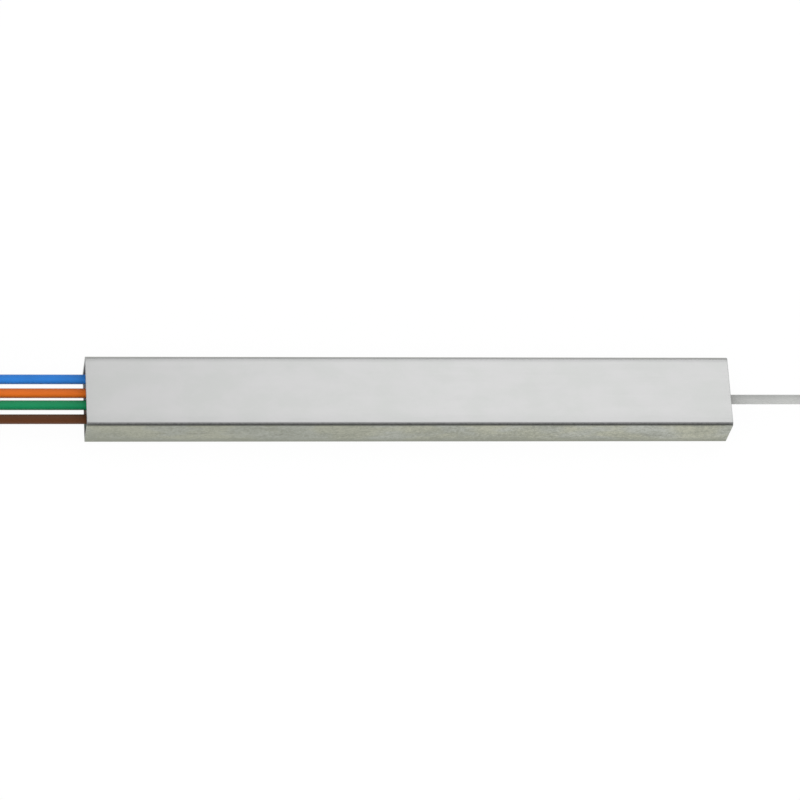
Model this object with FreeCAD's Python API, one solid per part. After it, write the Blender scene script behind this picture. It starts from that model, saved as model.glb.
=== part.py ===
import FreeCAD, Part
import math
import os

# A 1 x 4 planar-lightwave-circuit fibre splitter in a slim rectangular steel tube. Millimetres.
# X runs along the tube, with the input fibre leaving at +X and the four outputs at -X.
# Z is up. The origin is in the middle of the face that the tube rests on.

# Steel tube
TUBE_LENGTH = 60.0
TUBE_WIDTH = 7.0
TUBE_HEIGHT = 4.0
TUBE_WALL = 0.25
TUBE_CORNER_RADIUS = 0.35
RIM_BEVEL = 0.05

# Rubber end plugs
PLUG_RECESS = 0.4
PLUG_LENGTH = 4.0
PLUG_CLEARANCE = 0.06
PLUG_CORNER_RADIUS = 0.3
PLUG_FACE_BEVEL = 0.15
PLUG_RIB_WIDTH = 0.6
PLUG_RIB_INSET = 0.7
PLUG_HOLE_CLEARANCE = 0.03
PLUG_HOLE_BEVEL = 0.08

# Resin cast behind each plug
POTTING_LENGTH = 4.0
POTTING_MENISCUS = 0.4

# Loose tubes around the fibres, and where they leave the output end
LOOSE_TUBE_DIAMETER = 0.9
LOOSE_TUBE_BORE = 0.5
LOOSE_TUBE_BORE_DEPTH = 3.0
LOOSE_TUBE_BEYOND_POTTING = 1.6
INNER_OUTLET_OFFSET = 0.6
OUTER_OUTLET_OFFSET = 2.0

# Glass fibres
FIBRE_DIAMETER = 0.125
COATED_FIBRE_DIAMETER = 0.245
FIBRE_PITCH = 0.25

# Planar chip and the glass lids bonded over its two ends
CHIP_LENGTH = 10.0
CHIP_WIDTH = 2.5
CHIP_THICKNESS = 1.2
CHIP_CLADDING = 0.03
CHIP_LID_LENGTH = 2.5
CHIP_LID_THICKNESS = 1.0
POLISH_ANGLE = 8.0

# V-groove fibre arrays
ARRAY_WIDTH = 2.5
ARRAY_LID_THICKNESS = 1.0
ARRAY_LID_BEVEL = 0.2
ARRAY_SHELF_BEVEL = 0.15
GROOVE_ANGLE = 60.0
OUTPUT_ARRAY_LENGTH = 8.0
OUTPUT_GROOVE_LENGTH = 4.5
INPUT_ARRAY_LENGTH = 6.0
INPUT_GROOVE_LENGTH = 3.5

# Resin bead that holds the fibres to the shelf of each array
GLUE_WIDTH = 2.0
GLUE_HEIGHT_SHARE = 0.6
GLUE_TOE = 0.25
GLUE_HOLLOW = 0.12

# Ribbon sleeve that keeps the four output fibres side by side
RIBBON_START = 0.8
RIBBON_LENGTH = 7.0
RIBBON_WALL = 0.06

# Folded channel that carries the chip and arrays, and its soft pads
CHANNEL_SHEET = 0.2
CHANNEL_SIDE_CLEARANCE = 0.15
CHANNEL_HEIGHT = 2.5
CHANNEL_BEND_RADIUS = 0.2
CHANNEL_OVERHANG = 1.5
CHANNEL_TO_POTTING = 1.1
PAD_LENGTH = 4.0
PAD_CORNER_RADIUS = 0.12

# How far a cutter starts before the face that it opens
CUT_OVERRUN = 1.0

# Free length of the loose tubes, wound into one tied hank at each end
OUTPUT_FREE_STRAIGHT = 10.2
INPUT_FREE_STRAIGHT = 8.4
DROP_RUN = 3.3
LEAD_RUN = 2.1
TURN_PITCH = 0.92
TURN_SWELL = 0.28
HANK_EDGE_BEVEL = 0.3
OUTPUT_HANK_SLOTS = 6
OUTPUT_HANK_LAYERS = 10
OUTPUT_HANK_INNER_RADIUS = 3.0
OUTPUT_HANK_STRAIGHT = 19.0
INPUT_HANK_SLOTS = 4
INPUT_HANK_LAYERS = 4
INPUT_HANK_INNER_RADIUS = 4.0
INPUT_HANK_STRAIGHT = 14.2

# Twist ties round the hanks
TIE_THICKNESS = 0.3
TIE_WIDTH = 2.4
TIE_TAIL_LENGTH = 6.0
TIE_TAIL_TURNS = 1.5
TIE_TAIL_SECTIONS = 18

# Sizes that follow from the ones above
HALF_LENGTH = TUBE_LENGTH / 2
AXIS_Z = TUBE_HEIGHT / 2
INSIDE_WIDTH = TUBE_WIDTH - 2 * TUBE_WALL
INSIDE_HEIGHT = TUBE_HEIGHT - 2 * TUBE_WALL
INSIDE_CORNER_RADIUS = max(TUBE_CORNER_RADIUS - TUBE_WALL, TUBE_WALL / 5)
PLUG_FACE_X = HALF_LENGTH - PLUG_RECESS
POTTING_OUTER_X = PLUG_FACE_X - PLUG_LENGTH
POTTING_INNER_X = POTTING_OUTER_X - POTTING_LENGTH
LOOSE_TUBE_END_X = POTTING_INNER_X - LOOSE_TUBE_BEYOND_POTTING
LOOSE_TUBE_RADIUS = LOOSE_TUBE_DIAMETER / 2
OUTLET_OFFSETS = (OUTER_OUTLET_OFFSET, INNER_OUTLET_OFFSET, -INNER_OUTLET_OFFSET, -OUTER_OUTLET_OFFSET)
OUTPUT_COUNT = len(OUTLET_OFFSETS)
ROW_PLACES = tuple((OUTPUT_COUNT - 1) / 2 - i for i in range(OUTPUT_COUNT))
CHANNEL_OFFSETS = tuple(place * FIBRE_PITCH for place in ROW_PLACES)
CHANNEL_INPUT_END_X = POTTING_INNER_X - CHANNEL_TO_POTTING
INPUT_ARRAY_END_X = CHANNEL_INPUT_END_X - CHANNEL_OVERHANG
CHIP_INPUT_FACE_X = INPUT_ARRAY_END_X - INPUT_ARRAY_LENGTH
CHIP_OUTPUT_FACE_X = CHIP_INPUT_FACE_X - CHIP_LENGTH
CHIP_TOP_Z = AXIS_Z + CHIP_CLADDING
CHIP_BOTTOM_Z = CHIP_TOP_Z - CHIP_THICKNESS
ARRAY_TOP_Z = AXIS_Z + FIBRE_DIAMETER / 2
SHELF_Z = AXIS_Z - COATED_FIBRE_DIAMETER / 2 - RIBBON_WALL
CHANNEL_FLOOR_Z = TUBE_WALL + CHANNEL_SHEET
OUTPUT_GROOVE_END_X = CHIP_OUTPUT_FACE_X - OUTPUT_GROOVE_LENGTH
OUTPUT_ARRAY_END_X = CHIP_OUTPUT_FACE_X - OUTPUT_ARRAY_LENGTH
INPUT_GROOVE_END_X = CHIP_INPUT_FACE_X + INPUT_GROOVE_LENGTH
RIBBON_START_X = OUTPUT_GROOVE_END_X - RIBBON_START
RIBBON_END_X = RIBBON_START_X - RIBBON_LENGTH
ROW_Z = TIE_THICKNESS + LOOSE_TUBE_RADIUS


def point(x, y, z):
    return FreeCAD.Vector(x, y, z)


def block(x_pair, y_pair, z_pair):
    """A box between two values along each axis."""
    low = point(min(x_pair), min(y_pair), min(z_pair))
    high = point(max(x_pair), max(y_pair), max(z_pair))
    return Part.makeBox(high.x - low.x, high.y - low.y, high.z - low.z, low)


def rod(start, end, diameter):
    """A round bar between two points."""
    return Part.makeCylinder(diameter / 2, (end - start).Length, start, end - start)


def arc(start, middle, end):
    return Part.Arc(start, middle, end).toShape()


def line(start, end):
    return Part.LineSegment(start, end).toShape()


def section_outline(x, centre_y, centre_z, width, height, radius):
    """A rectangle with round corners, square to X."""
    corners = []
    for i, (side_y, side_z) in enumerate(((1, 1), (-1, 1), (-1, -1), (1, -1))):
        y = centre_y + side_y * (width / 2 - radius)
        z = centre_z + side_z * (height / 2 - radius)
        angles = [math.radians(90 * i + step) for step in (0, 45, 90)]
        corners.append([point(x, y + radius * math.cos(a), z + radius * math.sin(a)) for a in angles])
    edges = []
    for i, corner in enumerate(corners):
        edges.append(arc(*corner))
        following = corners[(i + 1) % 4][0]
        if (following - corner[2]).Length > 1e-6:
            edges.append(line(corner[2], following))
    return Part.Wire(edges)


def section_bar(x_pair, centre_y, centre_z, width, height, radius):
    """A bar along X with that rounded section."""
    outline = section_outline(min(x_pair), centre_y, centre_z, width, height, radius)
    return Part.Face(outline).extrude(point(max(x_pair) - min(x_pair), 0, 0))


def inside_bar(x_pair):
    """What fills the tube from wall to wall."""
    return section_bar(x_pair, 0, AXIS_Z, INSIDE_WIDTH, INSIDE_HEIGHT, INSIDE_CORNER_RADIUS)


def side_profile(corners, width):
    """A solid with that outline of (x, z) corners, extruded across the tube about its middle."""
    points = [point(x, -width / 2, z) for x, z in corners]
    return Part.Face(Part.makePolygon([*points, points[0]])).extrude(point(0, width, 0))


def polished_x(face_x, z):
    """Where a face that is polished at a slant, and crosses the fibre axis at face_x, is at height z."""
    return face_x + (z - AXIS_Z) * math.tan(math.radians(POLISH_ANGLE))


def edges_at(shape, x):
    """The edges that lie in the plane across the tube at x."""
    return [e for e in shape.Edges if abs(e.BoundBox.XMin - x) < 1e-6 and abs(e.BoundBox.XMax - x) < 1e-6]


# ---- housing ----


def steel_tube():
    span = (-HALF_LENGTH, HALF_LENGTH)
    outside = section_bar(span, 0, AXIS_Z, TUBE_WIDTH, TUBE_HEIGHT, TUBE_CORNER_RADIUS)
    tube = outside.cut(inside_bar(span))
    rims = edges_at(tube, -HALF_LENGTH) + edges_at(tube, HALF_LENGTH)
    return tube.makeChamfer(RIM_BEVEL, rims)


def end_plug(end, offsets):
    """A ribbed stopper in the mouth at end (-1 or 1), with a bevelled hole for each loose tube."""
    face, back = end * PLUG_FACE_X, end * POTTING_OUTER_X
    width, height = INSIDE_WIDTH - 2 * PLUG_CLEARANCE, INSIDE_HEIGHT - 2 * PLUG_CLEARANCE
    plug = section_bar((face, back), 0, AXIS_Z, width, height, PLUG_CORNER_RADIUS)
    hole_diameter = LOOSE_TUBE_DIAMETER + 2 * PLUG_HOLE_CLEARANCE
    for y in offsets:
        plug = plug.cut(rod(point(face, y, AXIS_Z), point(back, y, AXIS_Z), hole_diameter))
    plug = plug.makeChamfer(PLUG_HOLE_BEVEL, [e for e in edges_at(plug, face) if e.isClosed()])
    plug = plug.makeChamfer(PLUG_FACE_BEVEL, [e for e in edges_at(plug, face) if not e.isClosed()])
    for centre in (face - end * PLUG_RIB_INSET, back + end * PLUG_RIB_INSET):
        ends = (centre - PLUG_RIB_WIDTH / 2, centre + PLUG_RIB_WIDTH / 2)
        rib = inside_bar(ends)
        for y in offsets:
            rib = rib.cut(rod(point(ends[0], y, AXIS_Z), point(ends[1], y, AXIS_Z), hole_diameter))
        plug = plug.fuse(rib)
    return plug.removeSplitter()


def potting(end, offsets):
    """Resin cast behind a plug. It climbs the walls, so its inner face is hollow."""
    outer, inner = end * POTTING_OUTER_X, end * POTTING_INNER_X
    half_height = INSIDE_HEIGHT / 2
    radius = (half_height**2 + POTTING_MENISCUS**2) / (2 * POTTING_MENISCUS)
    centre_x = inner - end * (radius - POTTING_MENISCUS)
    hollow_start = point(centre_x, -TUBE_WIDTH / 2, AXIS_Z)
    hollow = rod(hollow_start, hollow_start + point(0, TUBE_WIDTH, 0), 2 * radius)
    resin = inside_bar((outer, inner)).cut(hollow)
    for y in offsets:
        resin = resin.cut(rod(point(outer, y, AXIS_Z), point(inner, y, AXIS_Z), LOOSE_TUBE_DIAMETER))
    return resin


# ---- chip and arrays ----


def plc_chip():
    corners = [
        (polished_x(CHIP_OUTPUT_FACE_X, CHIP_BOTTOM_Z), CHIP_BOTTOM_Z),
        (polished_x(CHIP_INPUT_FACE_X, CHIP_BOTTOM_Z), CHIP_BOTTOM_Z),
        (polished_x(CHIP_INPUT_FACE_X, CHIP_TOP_Z), CHIP_TOP_Z),
        (polished_x(CHIP_OUTPUT_FACE_X, CHIP_TOP_Z), CHIP_TOP_Z),
    ]
    return side_profile(corners, CHIP_WIDTH)


def chip_lid(face_x, inward):
    """A glass block over one end of the chip. inward is the way along X to the chip's middle."""
    top = CHIP_TOP_Z + CHIP_LID_THICKNESS
    inner_x = face_x + inward * CHIP_LID_LENGTH
    corners = [
        (polished_x(face_x, CHIP_TOP_Z), CHIP_TOP_Z),
        (inner_x, CHIP_TOP_Z),
        (inner_x, top),
        (polished_x(face_x, top), top),
    ]
    return side_profile(corners, CHIP_WIDTH)


def groove_cutter(x_pair, y):
    """The V that one bare fibre lies in, with the top of the fibre flush with the block."""
    half_angle = math.radians(GROOVE_ANGLE / 2)
    depth = FIBRE_DIAMETER / 2 * (1 + 1 / math.sin(half_angle))
    half_width = depth * math.tan(half_angle)
    start, end = min(x_pair), max(x_pair)
    outline = [
        point(start, y - half_width, ARRAY_TOP_Z),
        point(start, y, ARRAY_TOP_Z - depth),
        point(start, y + half_width, ARRAY_TOP_Z),
    ]
    return Part.Face(Part.makePolygon([*outline, outline[0]])).extrude(point(end - start, 0, 0))


def array_base(face_x, groove_end_x, end_x, offsets):
    """A glass block with V-grooves at the polished face and a lower shelf behind them."""
    away = math.copysign(1, end_x - face_x)
    corners = [
        (polished_x(face_x, CHIP_BOTTOM_Z), CHIP_BOTTOM_Z),
        (end_x, CHIP_BOTTOM_Z),
        (end_x, SHELF_Z - ARRAY_SHELF_BEVEL),
        (end_x - away * ARRAY_SHELF_BEVEL, SHELF_Z),
        (groove_end_x, SHELF_Z),
        (groove_end_x, ARRAY_TOP_Z),
        (polished_x(face_x, ARRAY_TOP_Z), ARRAY_TOP_Z),
    ]
    base = side_profile(corners, ARRAY_WIDTH)
    for y in offsets:
        base = base.cut(groove_cutter((face_x - away * CUT_OVERRUN, groove_end_x), y))
    return base


def array_lid(face_x, groove_end_x):
    """The glass that presses the bare fibres into their grooves."""
    away = math.copysign(1, groove_end_x - face_x)
    top = ARRAY_TOP_Z + ARRAY_LID_THICKNESS
    corners = [
        (polished_x(face_x, ARRAY_TOP_Z), ARRAY_TOP_Z),
        (groove_end_x - away * ARRAY_LID_BEVEL, ARRAY_TOP_Z),
        (groove_end_x, ARRAY_TOP_Z + ARRAY_LID_BEVEL),
        (groove_end_x, top),
        (polished_x(face_x, top), top),
    ]
    return side_profile(corners, ARRAY_WIDTH)


def ribbon_bar(x_pair, wall):
    """The four coated fibres as one flat bar with round sides, plus a wall round them."""
    height = COATED_FIBRE_DIAMETER + 2 * wall
    width = (OUTPUT_COUNT - 1) * FIBRE_PITCH + height
    return section_bar(x_pair, 0, AXIS_Z, width, height, height / 2)


def ribbon_jacket():
    span = (RIBBON_START_X, RIBBON_END_X)
    return ribbon_bar(span, RIBBON_WALL).cut(ribbon_bar(span, 0))


def array_glue(groove_end_x, end_x, fibre_space):
    """A resin bead on the shelf, highest at the lid and hollow-faced down to the block's end."""
    away = math.copysign(1, end_x - groove_end_x)
    top = ARRAY_TOP_Z + GLUE_HEIGHT_SHARE * ARRAY_LID_THICKNESS
    toe_x, toe_z = end_x - away * ARRAY_SHELF_BEVEL, SHELF_Z + GLUE_TOE
    side = -GLUE_WIDTH / 2
    start, toe = point(groove_end_x, side, top), point(toe_x, side, toe_z)
    hollow = (start + toe) * 0.5 - point(away * GLUE_HOLLOW, 0, GLUE_HOLLOW)
    low_end, low_start = point(toe_x, side, SHELF_Z), point(groove_end_x, side, SHELF_Z)
    outline = [arc(start, hollow, toe), line(toe, low_end), line(low_end, low_start), line(low_start, start)]
    return Part.Face(Part.Wire(outline)).extrude(point(0, GLUE_WIDTH, 0)).cut(fibre_space)


# ---- fibres ----


def swept(path, diameter):
    """A round bar along a path that starts along X."""
    start = path.OrderedVertexes[0].Point
    ring = Part.Wire(Part.makeCircle(diameter / 2, start, point(1, 0, 0)))
    return path.makePipeShell([ring], True, False)


def bare_end(face_x, groove_end_x, y):
    """The stripped length of a fibre, polished flush with the array's face."""
    reach = math.copysign(FIBRE_DIAMETER, face_x - groove_end_x)
    bare = rod(point(groove_end_x, y, AXIS_Z), point(face_x + reach, y, AXIS_Z), FIBRE_DIAMETER)
    low, high = AXIS_Z - FIBRE_DIAMETER, AXIS_Z + FIBRE_DIAMETER
    beyond = face_x + 4 * reach
    slant = [(polished_x(face_x, z), z) for z in (high, low)]
    return bare.cut(side_profile([(beyond, low), (beyond, high), *slant], ARRAY_WIDTH))


def output_fibre(channel_y, outlet_y):
    """From its groove through the ribbon, then spread by two equal arcs to its loose tube."""
    start = point(OUTPUT_GROOVE_END_X, channel_y, AXIS_Z)
    fan_start = point(RIBBON_END_X, channel_y, AXIS_Z)
    fan_end = point(-LOOSE_TUBE_END_X, outlet_y, AXIS_Z)
    end = fan_end - point(LOOSE_TUBE_BORE_DEPTH, 0, 0)
    run, shift = fan_start.x - fan_end.x, outlet_y - channel_y
    radius = (run**2 + shift**2) / (4 * abs(shift))
    half_turn = math.atan2(abs(shift), run)
    side = math.copysign(1, shift)
    sag = radius * (1 - math.cos(half_turn))
    half_chord = radius * math.sin(half_turn)
    centre = (fan_start + fan_end) * 0.5
    first = fan_start + point(-half_chord, side * sag, 0)
    second = fan_end + point(half_chord, -side * sag, 0)
    route = [line(start, fan_start), arc(fan_start, first, centre), arc(centre, second, fan_end)]
    coated = swept(Part.Wire([*route, line(fan_end, end)]), COATED_FIBRE_DIAMETER)
    return coated.fuse(bare_end(CHIP_OUTPUT_FACE_X, OUTPUT_GROOVE_END_X, channel_y))


def input_fibre():
    start = point(INPUT_GROOVE_END_X, 0, AXIS_Z)
    end = point(LOOSE_TUBE_END_X + LOOSE_TUBE_BORE_DEPTH, 0, AXIS_Z)
    return rod(start, end, COATED_FIBRE_DIAMETER).fuse(bare_end(CHIP_INPUT_FACE_X, INPUT_GROOVE_END_X, 0))


# ---- carrier ----


def carrier_channel():
    """A U of folded sheet on the tube's floor, under the chip and both arrays."""
    span = (OUTPUT_ARRAY_END_X - CHANNEL_OVERHANG, CHANNEL_INPUT_END_X)
    width = INSIDE_WIDTH - 2 * CHANNEL_SIDE_CLEARANCE
    height = CHANNEL_HEIGHT + TUBE_CORNER_RADIUS + CHANNEL_BEND_RADIUS
    centre_z = TUBE_WALL + height / 2
    outer_radius = CHANNEL_BEND_RADIUS + CHANNEL_SHEET
    outside = section_bar(span, 0, centre_z, width, height, outer_radius)
    inner_width, inner_height = width - 2 * CHANNEL_SHEET, height - 2 * CHANNEL_SHEET
    inside = section_bar(span, 0, centre_z, inner_width, inner_height, CHANNEL_BEND_RADIUS)
    above = block(span, (-width, width), (TUBE_WALL + CHANNEL_HEIGHT, TUBE_WALL + 2 * height))
    return outside.cut(inside).cut(above)


def pad(centre_x):
    """A soft bed between the channel's floor and an array."""
    span = (centre_x - PAD_LENGTH / 2, centre_x + PAD_LENGTH / 2)
    body = block(span, (-ARRAY_WIDTH / 2, ARRAY_WIDTH / 2), (CHANNEL_FLOOR_Z, CHIP_BOTTOM_Z))
    upright = [e for e in body.Edges if e.BoundBox.ZMax - e.BoundBox.ZMin > 1e-6]
    return body.makeFillet(PAD_CORNER_RADIUS, upright)


# ---- loose tubes, hanks and ties ----


def rounded_route(points):
    """Straight runs joined by tangent arcs, each as large as the two runs beside it allow."""
    edges, here, radii = [], points[0], []
    for before, corner, after in zip(points, points[1:], points[2:]):
        back, ahead = before - corner, after - corner
        reach = 0.45 * min(back.Length, ahead.Length)
        half_turn = (math.pi - back.getAngle(ahead)) / 2
        radius = reach / math.tan(half_turn)
        back.normalize()
        ahead.normalize()
        bisector = back + ahead
        bisector.normalize()
        inset = radius / math.cos(half_turn) - radius
        arc_start, arc_end = corner + back * reach, corner + ahead * reach
        edges += [line(here, arc_start), arc(arc_start, corner + bisector * inset, arc_end)]
        here = arc_end
        radii.append(round(radius, 1))
    edges.append(line(here, points[-1]))
    return Part.Wire(edges), radii


def loose_tube(name, points):
    """A loose tube from inside the resin to its hank, with the fibre's bore at its inner end."""
    path, radii = rounded_route(points)
    body = swept(path, LOOSE_TUBE_DIAMETER)
    expected = math.pi * LOOSE_TUBE_RADIUS**2 * path.Length
    print(f"{name}: radii {radii}, volume {body.Volume:.4f}, section x length {expected:.4f}")
    inward = points[1] - points[0]
    inward.normalize()
    return body.cut(rod(points[0], points[0] + inward * LOOSE_TUBE_BORE_DEPTH, LOOSE_TUBE_BORE))


def free_route(end, outlet_y, row_y, straight):
    """The points of a loose tube: straight out of the resin, then down to its place in the row."""
    drop_x = HALF_LENGTH + straight
    return [
        point(end * LOOSE_TUBE_END_X, outlet_y, AXIS_Z),
        point(end * drop_x, outlet_y, AXIS_Z),
        point(end * (drop_x + DROP_RUN), row_y, ROW_Z),
        point(end * (drop_x + DROP_RUN + LEAD_RUN), row_y, ROW_Z),
    ]


def output_tube(number):
    row_y = ROW_PLACES[number - 1] * TURN_PITCH
    points = free_route(-1, OUTLET_OFFSETS[number - 1], row_y, OUTPUT_FREE_STRAIGHT)
    return loose_tube(f"output_tube_{number}", points)


def input_tube():
    return loose_tube("input_tube", free_route(1, 0, 0, INPUT_FREE_STRAIGHT))


class Hank:
    """The sizes of one wound length: turns side by side in slots, from the outside in, and in layers."""

    def __init__(self, end, tubes, slots, layers, inner_radius, straight, free_straight):
        self.end = end
        self.half_row = (tubes - 1) * TURN_PITCH / 2 + LOOSE_TUBE_RADIUS
        self.width = (slots - 1) * TURN_PITCH + LOOSE_TUBE_DIAMETER + 2 * TURN_SWELL
        self.height = (layers - 1) * TURN_PITCH + LOOSE_TUBE_DIAMETER
        self.middle_radius = inner_radius + (slots - 1) * TURN_PITCH / 2
        self.lead_x = end * (HALF_LENGTH + free_straight + DROP_RUN + LEAD_RUN)
        outer_radius = self.middle_radius + self.width / 2
        self.centre_y = outer_radius - TURN_SWELL - self.half_row
        clear = math.sqrt(outer_radius**2 - (self.centre_y - self.half_row) ** 2)
        self.near_x = self.lead_x + end * clear
        self.far_x = self.near_x + end * straight

    def outline(self, radius):
        """An oval of two half circles and two straights, on the ties' upper face."""
        left, right = sorted((self.near_x, self.far_x))
        low, high = self.centre_y - radius, self.centre_y + radius
        z = TIE_THICKNESS
        corners = [point(left, low, z), point(right, low, z), point(right, high, z), point(left, high, z)]
        left_end = point(left - radius, self.centre_y, z)
        right_end = point(right + radius, self.centre_y, z)
        right_turn = arc(corners[1], right_end, corners[2])
        left_turn = arc(corners[3], left_end, corners[0])
        return Part.Wire([line(*corners[:2]), right_turn, line(*corners[2:]), left_turn])

    def solid(self):
        """The space that the turns fill, with the row of tubes that leads into it."""
        up = point(0, 0, self.height)
        outer = Part.Face(self.outline(self.middle_radius + self.width / 2)).extrude(up)
        inner = Part.Face(self.outline(self.middle_radius - self.width / 2)).extrude(up)
        ring = outer.cut(inner)
        flat = [e for e in ring.Edges if e.BoundBox.ZMax - e.BoundBox.ZMin < 1e-6]
        ring = ring.makeChamfer(HANK_EDGE_BEVEL, flat)
        low, high = TIE_THICKNESS, TIE_THICKNESS + LOOSE_TUBE_DIAMETER
        lead = block((self.lead_x, self.near_x), (-self.half_row, self.half_row), (low, high))
        return ring.fuse(lead).removeSplitter()

    def tie(self, side):
        """A flat band round the turns at the middle of the front (-1) or rear (1) straight."""
        x = (self.near_x + self.far_x) / 2
        span = (x - TIE_WIDTH / 2, x + TIE_WIDTH / 2)
        y, z = self.centre_y + side * self.middle_radius, TIE_THICKNESS + self.height / 2
        half_width, half_height = self.width / 2, self.height / 2
        inside = block(span, (y - half_width, y + half_width), (z - half_height, z + half_height))
        along = [e for e in inside.Edges if e.BoundBox.XMax - e.BoundBox.XMin > 1e-6]
        inside = inside.makeChamfer(HANK_EDGE_BEVEL, along)
        width, height = self.width + 2 * TIE_THICKNESS, self.height + 2 * TIE_THICKNESS
        outside = section_bar(span, y, z, width, height, HANK_EDGE_BEVEL + TIE_THICKNESS)
        tail_start = point(x, y, 2 * TIE_THICKNESS + self.height)
        return outside.cut(inside).fuse(twisted_tail(tail_start, self.end))


def polygon_face(*corners):
    return Part.Face(Part.makePolygon([*corners, corners[0]]))


def twisted_tail(start, way):
    """The two ends of a tie twisted together, lying along the top of the hank."""
    sections = []
    for i in range(TIE_TAIL_SECTIONS + 1):
        share = i / TIE_TAIL_SECTIONS
        angle = 2 * math.pi * TIE_TAIL_TURNS * share
        across = point(0, math.cos(angle), math.sin(angle)) * (TIE_WIDTH / 2)
        through = point(0, -math.sin(angle), math.cos(angle)) * TIE_THICKNESS
        centre = start + point(way * share * TIE_TAIL_LENGTH, 0, (TIE_WIDTH - TIE_THICKNESS) / 2)
        ahead = [centre + across + through, centre - across + through]
        sections.append([*ahead, centre - across - through, centre + across - through])
    faces = [polygon_face(*sections[0]), polygon_face(*sections[-1])]
    for near, far in zip(sections, sections[1:]):
        for i in range(4):
            faces.append(polygon_face(near[i - 1], near[i], far[i - 1]))
            faces.append(polygon_face(near[i], far[i], far[i - 1]))
    return Part.makeSolid(Part.makeShell(faces))


def output_hank():
    slots, layers, radius = OUTPUT_HANK_SLOTS, OUTPUT_HANK_LAYERS, OUTPUT_HANK_INNER_RADIUS
    return Hank(-1, OUTPUT_COUNT, slots, layers, radius, OUTPUT_HANK_STRAIGHT, OUTPUT_FREE_STRAIGHT)


def input_hank():
    slots, layers, radius = INPUT_HANK_SLOTS, INPUT_HANK_LAYERS, INPUT_HANK_INNER_RADIUS
    return Hank(1, 1, slots, layers, radius, INPUT_HANK_STRAIGHT, INPUT_FREE_STRAIGHT)


def all_parts():
    """Every node's name and solid."""
    ribbon = ribbon_bar((OUTPUT_GROOVE_END_X, OUTPUT_ARRAY_END_X), 0).fuse(
        ribbon_bar((RIBBON_START_X, OUTPUT_ARRAY_END_X), RIBBON_WALL)
    )
    coated_input = rod(
        point(INPUT_GROOVE_END_X, 0, AXIS_Z), point(INPUT_ARRAY_END_X, 0, AXIS_Z), COATED_FIBRE_DIAMETER
    )
    outputs, inputs = output_hank(), input_hank()
    parts = {
        "steel_tube": steel_tube(),
        "output_end_plug": end_plug(-1, OUTLET_OFFSETS),
        "input_end_plug": end_plug(1, (0,)),
        "output_potting": potting(-1, OUTLET_OFFSETS),
        "input_potting": potting(1, (0,)),
        "carrier_channel": carrier_channel(),
        "output_pad": pad((CHIP_OUTPUT_FACE_X + OUTPUT_ARRAY_END_X) / 2),
        "input_pad": pad((CHIP_INPUT_FACE_X + INPUT_ARRAY_END_X) / 2),
        "plc_chip": plc_chip(),
        "chip_lid_output": chip_lid(CHIP_OUTPUT_FACE_X, 1),
        "chip_lid_input": chip_lid(CHIP_INPUT_FACE_X, -1),
        "output_array_base": array_base(
            CHIP_OUTPUT_FACE_X, OUTPUT_GROOVE_END_X, OUTPUT_ARRAY_END_X, CHANNEL_OFFSETS
        ),
        "output_array_lid": array_lid(CHIP_OUTPUT_FACE_X, OUTPUT_GROOVE_END_X),
        "output_array_glue": array_glue(OUTPUT_GROOVE_END_X, OUTPUT_ARRAY_END_X, ribbon),
        "input_array_base": array_base(CHIP_INPUT_FACE_X, INPUT_GROOVE_END_X, INPUT_ARRAY_END_X, (0,)),
        "input_array_lid": array_lid(CHIP_INPUT_FACE_X, INPUT_GROOVE_END_X),
        "input_array_glue": array_glue(INPUT_GROOVE_END_X, INPUT_ARRAY_END_X, coated_input),
        "ribbon_jacket": ribbon_jacket(),
        "input_fibre": input_fibre(),
        "input_tube": input_tube(),
        "output_hank": outputs.solid(),
        "input_hank": inputs.solid(),
        "output_tie_front": outputs.tie(-1),
        "output_tie_rear": outputs.tie(1),
        "input_tie_front": inputs.tie(-1),
        "input_tie_rear": inputs.tie(1),
    }
    for number, (channel_y, outlet_y) in enumerate(zip(CHANNEL_OFFSETS, OUTLET_OFFSETS), 1):
        parts[f"output_fibre_{number}"] = output_fibre(channel_y, outlet_y)
        parts[f"output_tube_{number}"] = output_tube(number)
    return parts


os.makedirs("parts", exist_ok=True)
for name, shape in all_parts().items():
    shape.exportStep(f"parts/{name}.step")
    print(f"{name}: {len(shape.Solids)} solid, valid {shape.isValid()}, {shape.Volume:.4f} mm3")
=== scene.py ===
"""A slim steel-tube fibre splitter: its housing, optics, loose tubes and tied hanks, lit in a plain studio.

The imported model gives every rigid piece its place. This script dresses those pieces, models the
housing, loose tubes and twist ties again in finer detail, and sets up the floor, light and camera.
"""

import logging
import math
from dataclasses import dataclass
from enum import Enum

import bmesh
import bpy
from mathutils import Matrix, Vector


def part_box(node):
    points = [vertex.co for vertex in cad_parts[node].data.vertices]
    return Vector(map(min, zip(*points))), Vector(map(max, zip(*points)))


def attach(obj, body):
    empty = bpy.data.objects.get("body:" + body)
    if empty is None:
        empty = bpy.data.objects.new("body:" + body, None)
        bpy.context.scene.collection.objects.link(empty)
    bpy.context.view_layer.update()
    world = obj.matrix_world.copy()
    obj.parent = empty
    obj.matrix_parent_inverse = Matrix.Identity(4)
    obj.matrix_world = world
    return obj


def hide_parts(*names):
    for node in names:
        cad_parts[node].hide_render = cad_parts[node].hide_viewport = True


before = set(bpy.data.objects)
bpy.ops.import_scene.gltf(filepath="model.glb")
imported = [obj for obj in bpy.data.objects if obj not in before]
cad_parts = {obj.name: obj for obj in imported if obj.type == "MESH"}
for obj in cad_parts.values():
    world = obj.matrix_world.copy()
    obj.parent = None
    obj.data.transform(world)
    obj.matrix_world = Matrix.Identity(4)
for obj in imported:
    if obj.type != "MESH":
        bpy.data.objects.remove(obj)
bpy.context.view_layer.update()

LOG = logging.getLogger("fibre_splitter")
MM = 0.001
BODY = "root"
# Two places nearer than this are the same.
TOUCHING = 1e-7
# A face looks along X where at least this much of its normal does.
FACING = 0.9
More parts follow.
